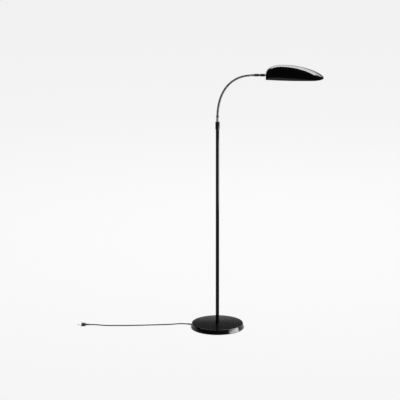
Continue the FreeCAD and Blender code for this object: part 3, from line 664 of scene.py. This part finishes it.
class CordOperator(bpy.types.Operator):
    """Lay the cord from the base to its plug, with its strain relief"""
    bl_idname = "lamp.cord"
    bl_label = "Cord"

    def execute(self, context):
        sheath = sizes().cord_diameter
        plug = self.plug()
        pins = self.pins()
        curve = bpy.data.curves.new("cord_line", "CURVE")
        curve.dimensions = "3D"
        line = curve.splines.new("NURBS")
        line.points.add(len(CORD_ROUTE) - 1)
        for point, (x, y, z) in zip(line.points, CORD_ROUTE):
            point.co = (x * MM, y * MM, z * MM, 1)
        line.order_u = 3
        line.use_endpoint_u = True
        line.resolution_u = 24
        curve.bevel_depth = sheath / 2
        curve.bevel_resolution = 7
        curve.use_fill_caps = True
        cord = bpy.data.objects.new("cord_line", curve)
        context.scene.collection.objects.link(cord)
        dress(cord, "stand", "cord_sheath", "cord")
        self.strain_relief()
        keep("cord_sheath", "inner_lead")
        return {"FINISHED"}

    @staticmethod
    def strain_relief():
        """A flanged sleeve with a tapering ribbed tail."""
        outwards = Vector((math.cos(EXIT_HEADING), math.sin(EXIT_HEADING), 0))
        exit_height = CORD_ROUTE[0][2] * MM
        place = pointed(outwards * sizes().base_rim_radius + UP * exit_height, outwards)
        bore = sizes().cord_diameter / MM / 2 + 0.02
        corners = [(bore, -11, 0), (4.6, -11, 0.3), (4.6, -9, 0.3), (3.5, -9, 0), (3.5, 3.0, 0.3)]
        for rib in range(7):
            low = 3.6 + rib * 2.5
            wide = 3.45 - 0.06 * rib
            narrow = wide - 0.45
            corners += [(narrow, low, 0.12), (narrow, low + 0.7, 0.12),
                        (wide, low + 0.9, 0.25), (wide, low + 2.3, 0.25)]
        corners += [(3.0, 21.4, 0.2), (2.95, 22, 0.2), (bore, 22, 0)]
        path = rounded(scaled(corners), steps=3)
        piece = turned("cord_grommet_ribbed", path, place, closed=True, segments=48)
        dress(piece, "stand", "black_plastic", "cord_grommet")

    @staticmethod
    def plug_place():
        """The plug lies flat at the cord's end, with its pins along local Z."""
        heading = Vector((math.cos(PLUG_HEADING), math.sin(PLUG_HEADING), 0))
        side = UP.cross(heading)
        turn = Matrix((side, UP, heading)).transposed().to_4x4()
        return Matrix.Translation(Vector(CORD_ROUTE[-1]) * MM) @ turn

    def plug(self):
        """A flat moulded plug: round ribbed tail, waisted grip and a square-edged face."""
        place = self.plug_place()
        stations = []
        tail = 14.0
        for step in range(29):
            along = tail * step / 28
            swell = 0.28 * max(0.0, math.sin(along / 2.0 * math.pi)) if along < 12 else 0.0
            radius = 3.2 + 0.8 * along / tail - 0.3 + swell
            stations.append((along, radius, radius, 2.0))
        half_wide, half_thick, square = 13.0, 6.48, 4.2
        for step in range(1, 13):
            t = step / 12
            ease = t * t * (3 - 2 * t)
            stations.append((tail + 8 * t, 4 + (half_wide - 4) * ease,
                             4 + (half_thick - 4) * ease, 2 + (square - 2) * ease))
        for step in range(1, 21):
            along = 22 + 13.8 * step / 20
            dip = 0.9 * math.sin(math.pi * min(1, step / 16)) ** 2
            groove = 0.22 * (step % 2) if 3 < step < 15 else 0.0
            stations.append((along, half_wide - dip, half_thick - groove, square))
        edge = 1.2
        for step in range(1, 7):
            t = step / 6 * math.pi / 2
            drawn = edge * (1 - math.cos(t))
            stations.append((35.8 + edge * math.sin(t), half_wide - drawn,
                             half_thick + 0.02 - drawn, square))
        rings = []
        for along, wide, thick, power in stations:
            ring = []
            for j in range(PLUG_SEGMENTS):
                turn = TAU * j / PLUG_SEGMENTS
                c, s = math.cos(turn), math.sin(turn)
                x = math.copysign(abs(c) ** (2 / power), c) * wide
                y = math.copysign(abs(s) ** (2 / power), s) * thick
                ring.append(place @ Vector((x * MM, y * MM, along * MM)))
            rings.append(ring)
        first, last = ([sum(ring, Vector()) / PLUG_SEGMENTS] * PLUG_SEGMENTS
                       for ring in (rings[0], rings[-1]))
        rings = [first, *rings, last]
        piece = skin("plug_moulded", rings, sharp=40)
        return dress(piece, "stand", "black_plastic", "plug_body")

    def pins(self):
        """Two round pins with domed tips."""
        place = self.plug_place()
        path = rounded(scaled([(0, 36.5, 0), (2, 36.5, 0), (2, 47, 0.1), (1.85, 47.2, 0.1),
                               (1.85, 56, 1.4), (0, 56, 0)]), steps=6)
        points, faces = [], []
        for side in (-9.3, 9.3):
            beside = Matrix.Translation((side * MM, 0, 0))
            pin = turned("pin", path, place @ beside, segments=40)
            shift = len(points)
            points += [v.co.copy() for v in pin.data.vertices]
            faces += [[shift + v for v in f.vertices] for f in pin.data.polygons]
            bpy.data.objects.remove(pin)
        piece = solid("plug_pins_round", points, faces)
        return dress(piece, "stand", "pin_metal", "plug_pins")


class BaseOperator(bpy.types.Operator):
    """Build the round base cover and finish what it holds"""
    bl_idname = "lamp.base"
    bl_label = "Base"

    def execute(self, context):
        dims = sizes()
        rim, top, height = dims.base_rim_radius, dims.base_top_radius, dims.base_height
        wall, widest, hem, tuck = 1.5 * MM, 3.2 * MM, 1.0 * MM, 1.2 * MM
        outer = [(0, height, 0), (top, height, 1.6 * MM), (rim, widest, 1.0 * MM),
                 (rim - tuck, hem, 0.3 * MM), (rim - tuck - wall, hem, 0), (rim - wall, widest, 0),
                 (top - wall, height - wall, 0), (0, height - wall, 0)]
        path = rounded(outer, steps=8)
        cover = turned("base_cover_turned", path, upright(), segments=2 * dims.turns)
        dress(cover, "stand", "base_enamel", "base_cover")
        keep("ballast_iron", "base_weight")
        keep("felt", "felt_pad")
        keep("plated_steel", "bottom_plate", "plate_screws", "pole_stud", "stud_washer",
             "stud_nut", "pole_foot_bush", "pole_top_bush", "collar_grub_screw", "swivel_clip")
        keep("neck_metal", "swivel_core")
        return {"FINISHED"}


class PoleOperator(bpy.types.Operator):
    """Build the pole and the collar over its top"""
    bl_idname = "lamp.pole"
    bl_label = "Pole and collar"

    def execute(self, context):
        dims = sizes()
        outer = dims.pole_radius / MM
        bore, edge = outer - 1.2, 0.3
        corners = [(outer, POLE_FOOT, edge), (outer, POLE_TOP, edge), (bore, POLE_TOP, 0),
                   (bore, POLE_FOOT, 0)]
        path = divided(rounded(scaled(corners), closed=True, steps=4), (POLE_FOOT + edge) * MM,
                       (POLE_TOP - edge) * MM, 12)
        pole = turned("pole_drawn", path, upright(), closed=True)
        dress(pole, "stand", "pole_enamel", "pole_tube")
        wide = dims.collar_radius / MM
        fit, mouth, step = outer + 0.02, 5.85, POLE_TOP + 1
        corners = [(fit, COLLAR_FOOT, 0), (wide, COLLAR_FOOT, 0.5), (wide, COLLAR_TOP, 3.0),
                   (mouth, COLLAR_TOP, 0.2), (mouth, step, 0), (fit, step, 0)]
        collar = turned("collar_turned", rounded(scaled(corners), closed=True, steps=8), upright(),
                        closed=True)
        dress(collar, "stand", "pole_enamel", "collar")
        return {"FINISHED"}


class NeckOperator(bpy.types.Operator):
    """Build the root ferrule and the ribbed neck, in lengths that turn at each hinge"""
    bl_idname = "lamp.neck"
    bl_label = "Neck"

    def execute(self, context):
        bore = 5.3
        corners = [(bore, COLLAR_TOP, 0), (5.8, COLLAR_TOP, 0), (5.8, 1005.2, 0),
                   (6.6, 1005.9, 0.2), (7.4, 1006.8, 0.3), (7.4, 1010.4, 0.4), (6.8, 1011, 0.2),
                   (bore, 1011, 0.1)]
        path = rounded(scaled(corners), closed=True, steps=4)
        ferrule = turned("neck_root_ferrule_turned", path, upright(), closed=True)
        dress(ferrule, "stand", "neck_metal", "neck_root_ferrule")
        pivots = [NECK_LENGTH * k - BALL_DEPTH for k in range(1, len(NECK_BENDS))]
        stops = [0, *pivots, NECK_LENGTH * len(NECK_BENDS)]
        for k, (start, end) in enumerate(zip(stops, stops[1:])):
            body = f"neck_{k:02d}" if k else "stand"
            self.ribbed(f"neck_ribbed_{k:02d}", start, end, k > 0, k < len(pivots), body,
                        f"neck_length_{k:02d}")
        return {"FINISHED"}

    @staticmethod
    def ribbed(name, start, end, cupped, balled, body, *nodes):
        """A hollow helical-ribbed length of the neck between two stations. A balled length ends in
        a ball about its last station, which the cup of the next length turns on."""
        dims = sizes()
        pitch, depth = dims.neck_rib_pitch / MM, dims.neck_rib_depth / MM
        outer = dims.neck_radius / MM
        ball = outer - depth - 0.35
        cup, cup_end = ball + 0.15, start + ball + 0.2 if cupped else start
        first = start + HINGE_GROOVE if cupped else start
        last = end - HINGE_GROOVE if balled else end
        cuts = max(4, round((last - first) / pitch * 9))
        stations = [(first + (last - first) * i / cuts, None) for i in range(cuts + 1)]
        if balled:
            reach = math.sqrt(ball ** 2 - NECK_BORE ** 2)
            past = [reach * i / 8 for i in range(9)]
            stations.append((last, ball))
            stations += [(end + d, math.sqrt(ball ** 2 - d ** 2)) for d in past]
        stations += [(s, cup if s < cup_end else NECK_BORE) for s, _ in reversed(stations)]
        rings = []
        for s, plain in stations:
            centre, heading = neck_point(s)
            across, side = Vector((heading.z, 0, -heading.x)), Vector((0, 1, 0))
            ring = []
            for j in range(NECK_SEGMENTS):
                turn = TAU * j / NECK_SEGMENTS
                phase = (s / pitch - turn / TAU) % 1
                radius = plain or outer - depth * abs(2 * phase - 1) ** 2.4
                away = across * math.cos(turn) + side * math.sin(turn)
                ring.append(centre + away * radius * MM)
            rings.append(ring)
        return dress(skin(name, rings, wrap=True, sharp=60), body, "neck_metal", *nodes)


class SwivelOperator(bpy.types.Operator):
    """Build the two ferrules of the swivel and the threaded nipple into the shade"""
    bl_idname = "lamp.swivel"
    bl_label = "Swivel"

    def execute(self, context):
        low, high = 4.3, 20.3
        corners = [(5.3, 0, 0.2), (6.0, 0, 0.4), (6.0, low, 0), (6.0, high, 0), (6.0, 23.3, 0.5),
                   (2.6, 23.3, 0), (2.6, 6, 0), (5.3, 6, 0)]
        path = divided(rounded(scaled(corners), closed=True, steps=4), low * MM, high * MM, 24)
        knurl = flutes(24, 0.42 * MM, low * MM, high * MM, 0.7 * MM)
        ferrule = turned("neck_end_ferrule_knurled", path, along_x(FERRULE_X, SWIVEL_Z),
                         closed=True, segments=240, relief=knurl)
        dress(ferrule, "neck_12", "fitting_metal", "neck_end_ferrule")
        corners = [(2.6, 0, 0), (6.4, 0, 0.5), (6.4, 16.0, 0.3), (7.2, 16.2, 0.3),
                   (7.2, 20.6, 0.5), (4.72, 20.6, 0.1), (4.72, 17, 0), (2.6, 17, 0)]
        barrel = turned("swivel_barrel_turned", rounded(scaled(corners), closed=True, steps=5),
                        along_x(BARREL_X, SWIVEL_Z), closed=True)
        dress(barrel, "head", "fitting_metal", "swivel_barrel")
        low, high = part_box("head_nipple")
        length, edge = (high.x - low.x) / MM, 0.4
        corners = [(2.6, 0, 0), (4.7, 0, edge), (4.7, length, edge), (2.6, length, 0)]
        run = edge * MM, (length - edge) * MM
        path = divided(rounded(scaled(corners), closed=True, steps=3), *run, int(length * 10))
        nipple = turned("head_nipple_threaded", path, along_x(low.x / MM, SWIVEL_Z), closed=True,
                        segments=64, relief=thread(1.0 * MM, 0.45 * MM, *run))
        dress(nipple, "head", "plated_steel", "head_nipple")
        keep("plated_steel", "shade_washer", "shade_lock_nut")
        return {"FINISHED"}


def shade_half_width(x):
    """Half the shade's width, x millimetres from its back."""
    first, last = SHADE_WIDEST
    if x < first:
        return SHADE_HALF_WIDTH - SHADE_BACK_TAPER * (1 - x / first) ** 1.8
    if x <= last:
        return SHADE_HALF_WIDTH
    return SHADE_HALF_WIDTH * (1 - ((x - last) / SHADE_NOSE_RUN) ** 2.2) ** (1 / 2.2)


def shade_crest(x):
    """Height of the shade above its rim, x millimetres from its back."""
    if x < SHADE_CREST_X:
        away = (SHADE_CREST_X - x) / SHADE_BACK_RUN
        return SHADE_HEIGHT * (1 - away ** 2.5) ** (1 / 2.5)
    return SHADE_HEIGHT * (1 - ((x - SHADE_CREST_X) / SHADE_FALL_RUN) ** 2) ** 0.8


class ShadeOperator(bpy.types.Operator):
    """Build the long half-shell shade, black outside and pale inside"""
    bl_idname = "lamp.shade"
    bl_label = "Shade"

    def execute(self, context):
        dims = sizes()
        length, wall = dims.shade_length / MM, dims.shade_wall / MM
        outer = self.surface(length, 0.0)
        inner = self.surface(length, wall)
        across, rows = len(outer[0]), len(outer)
        points = [p for row in outer for p in row] + [p for row in inner for p in row]
        faces, marks = [], []
        for shift, mark in ((0, 0), (rows * across, 1)):
            for i in range(rows - 1):
                for j in range(across - 1):
                    a = shift + i * across + j
                    faces.append((a, a + 1, a + across + 1, a + across))
                    marks.append(mark)
        for j in (0, across - 1):
            first = len(points)
            for row_out, row_in in zip(outer, inner):
                middle = (row_out[j] + row_in[j]) / 2
                points.append(Vector((middle.x, middle.y, RIM_Z * MM)))
            for i in range(rows - 1):
                a, b = i * across + j, (i + 1) * across + j
                inside = rows * across
                faces.append((a, b, first + i + 1, first + i))
                faces.append((first + i, first + i + 1, inside + b, inside + a))
                marks += [0, 0]
        shell = solid("shade_spun", points, faces, 32, marks)
        dress(shell, "head", "shade_enamel", "shade_shell")
        shell.data.materials.append(MATERIALS["shade_inside"])
        return {"FINISHED"}

    @staticmethod
    def surface(length, inset):
        """Rows of points from the bottom of the back, over the top, to the nose. A station has
        its x, how far it has grown from the rim, and how far it is drawn in by a rounded edge."""
        edge, nose, across, lift = 3.0, 2.6, 96, 0.55
        stations = [(0.0, step / 9, 0.0) for step in range(9)]
        for step in range(10):
            t = step / 9 * math.pi / 2
            stations.append((edge * (1 - math.cos(t)), 1.0, edge * (1 - math.sin(t))))
        x = edge
        while x < length - nose - 0.5:
            x += 2.2
            stations.append((min(x, length - nose), 1.0, 0.0))
        for step in range(1, 9):
            t = step / 8 * math.pi / 2
            stations.append((length - nose * (1 - math.sin(t)), 1.0, nose * (1 - math.cos(t))))
        for step in range(1, 5):
            stations.append((length, 1 - step / 4, nose))
        rows = []
        span = length - 2 * inset
        for x, grow, shrink in stations:
            wide = max(0.0, shade_half_width(min(x, length)) - shrink - inset) * grow
            crest = shade_crest(min(x, length))
            high = max(lift, min(crest - shrink * min(1, crest / 12), crest) - inset)
            high = lift + (high - lift) * grow
            row = []
            for j in range(across + 1):
                turn = math.pi * j / across
                row.append(Vector(((SHADE_X + inset + x * span / length) * MM,
                                   wide * math.cos(turn) * MM,
                                   (RIM_Z + lift + (high - lift) * math.sin(turn)) * MM)))
            rows.append(row)
        return rows


class LampholderOperator(bpy.types.Operator):
    """Build the lampholder's cap and sleeve and finish its inner parts"""
    bl_idname = "lamp.lampholder"
    bl_label = "Lampholder"

    def execute(self, context):
        place = along_x(HOLDER_X, HOLDER_Z)
        wide, bore = 13.5, 12.0
        corners = [(4.8, 0, 0), (wide, 0, 4.0), (wide, 16.9, 0.3), (bore, 16.9, 0),
                   (bore, 1.5, 0), (4.8, 1.5, 0)]
        cap = turned("holder_cap_moulded", rounded(scaled(corners), closed=True, steps=8), place,
                     closed=True)
        dress(cap, "head", "holder_plastic", "holder_cap")
        low, high = 20, 40
        corners = [(bore, 17.1, 0), (wide, 17.1, 0.3), (wide, low, 0), (wide, high, 0),
                   (wide, 47, 0.6), (bore, 47, 0.3)]
        path = divided(rounded(scaled(corners), closed=True, steps=4), low * MM, high * MM, 24)
        grip = flutes(30, 0.35 * MM, low * MM, high * MM, 1.0 * MM)
        sleeve = turned("holder_sleeve_ribbed", path, place, closed=True, segments=240,
                        relief=grip)
        dress(sleeve, "head", "holder_plastic", "holder_sleeve")
        keep("white_ceramic", "holder_insert")
        keep("contact_brass", "centre_contact", "threaded_sleeve")
        keep("plated_steel", "holder_bracket", "holder_nipple", "holder_nut")
        return {"FINISHED"}


class BulbOperator(bpy.types.Operator):
    """Build the small round bulb"""
    bl_idname = "lamp.bulb"
    bl_label = "Bulb"

    def execute(self, context):
        place = along_x(HOLDER_X, HOLDER_Z)
        low, high = 30.5, 46
        corners = [(0, 26.5, 0), (3.2, 26.5, 0.4), (6.3, 29.5, 0.8), (6.9, low, 0),
                   (6.9, high, 0), (6.9, 50.5, 0.3), (0, 50.5, 0)]
        path = divided(rounded(scaled(corners), steps=4), low * MM, high * MM, 56)
        screw = thread(2.82 * MM, 0.6 * MM, low * MM, high * MM)
        cap = turned("bulb_cap_threaded", path, place, segments=72, relief=screw)
        dress(cap, "head", "bulb_cap_metal", "bulb_cap")
        ball, centre, throat = sizes().bulb_radius / MM, 85.12, 9.0
        corners = [(0, 50.6, 0), (6.7, 50.6, 0.3), (7.4, 57, 4), (throat, 64.5, 3)]
        path = rounded(scaled(corners), steps=5)
        sweep = math.pi - math.asin(throat / ball)
        for step in range(1, 49):
            turn = sweep - sweep * step / 48
            path.append((ball * math.sin(turn) * MM, (centre + ball * math.cos(turn)) * MM))
        glass = turned("bulb_glass_blown", path, place)
        dress(glass, "head", "opal_glass", "bulb_glass")
        return {"FINISHED"}


class SwitchOperator(bpy.types.Operator):
    """Build the rotary switch's knob"""
    bl_idname = "lamp.switch"
    bl_label = "Switch"

    def execute(self, context):
        place = pointed(Vector((SWITCH_X, 0, HOLDER_Z)) * MM, Vector((0, 1, 0)))
        low, high, top = 16.0, 22.5, 23.5
        corners = [(0, 14.5, 0), (5.5, 14.5, 0.4), (5.5, low, 0), (5.5, high, 0), (5.1, top, 0.6),
                   (0, top, 0)]
        path = divided(rounded(scaled(corners), steps=4), low * MM, high * MM, 12)
        grip = flutes(12, 0.4 * MM, 14.9 * MM, 23.2 * MM, 0.8 * MM)
        knob = turned("switch_knob_fluted", path, place, segments=144, relief=grip)
        dress(knob, "switch_dial", "black_plastic", "switch_knob")
        keep("plated_steel", "switch_shaft")
        return {"FINISHED"}


class LampPanel(bpy.types.Panel):
    """Lists the steps that build the reading lamp"""
    bl_idname = "VIEW3D_PT_reading_lamp"
    bl_label = "Reading lamp"
    bl_space_type = "VIEW_3D"
    bl_region_type = "UI"
    bl_category = "Reading lamp"

    def draw(self, context):
        layout = self.layout
        for group in (context.scene.lamp_sizes, context.scene.lamp_finishes):
            box = layout.box()
            for name in group.__annotations__:
                box.prop(group, name)
        for operator in OPERATORS:
            layout.operator(operator.bl_idname)


OPERATORS = (
    StageOperator, CordOperator, BaseOperator, PoleOperator, NeckOperator, SwivelOperator,
    ShadeOperator, LampholderOperator, BulbOperator, SwitchOperator,
)
CLASSES = (LampSizes, LampFinishes, *OPERATORS, LampPanel)


def register():
    for cls in CLASSES:
        bpy.utils.register_class(cls)
    bpy.types.Scene.lamp_sizes = PointerProperty(type=LampSizes)
    bpy.types.Scene.lamp_finishes = PointerProperty(type=LampFinishes)


def unregister():
    del bpy.types.Scene.lamp_finishes
    del bpy.types.Scene.lamp_sizes
    for cls in reversed(CLASSES):
        bpy.utils.unregister_class(cls)


def main():
    register()
    make_materials()
    for operator in OPERATORS:
        family, step = operator.bl_idname.split(".")
        getattr(getattr(bpy.ops, family), step)()


if __name__ == "__main__":
    main()
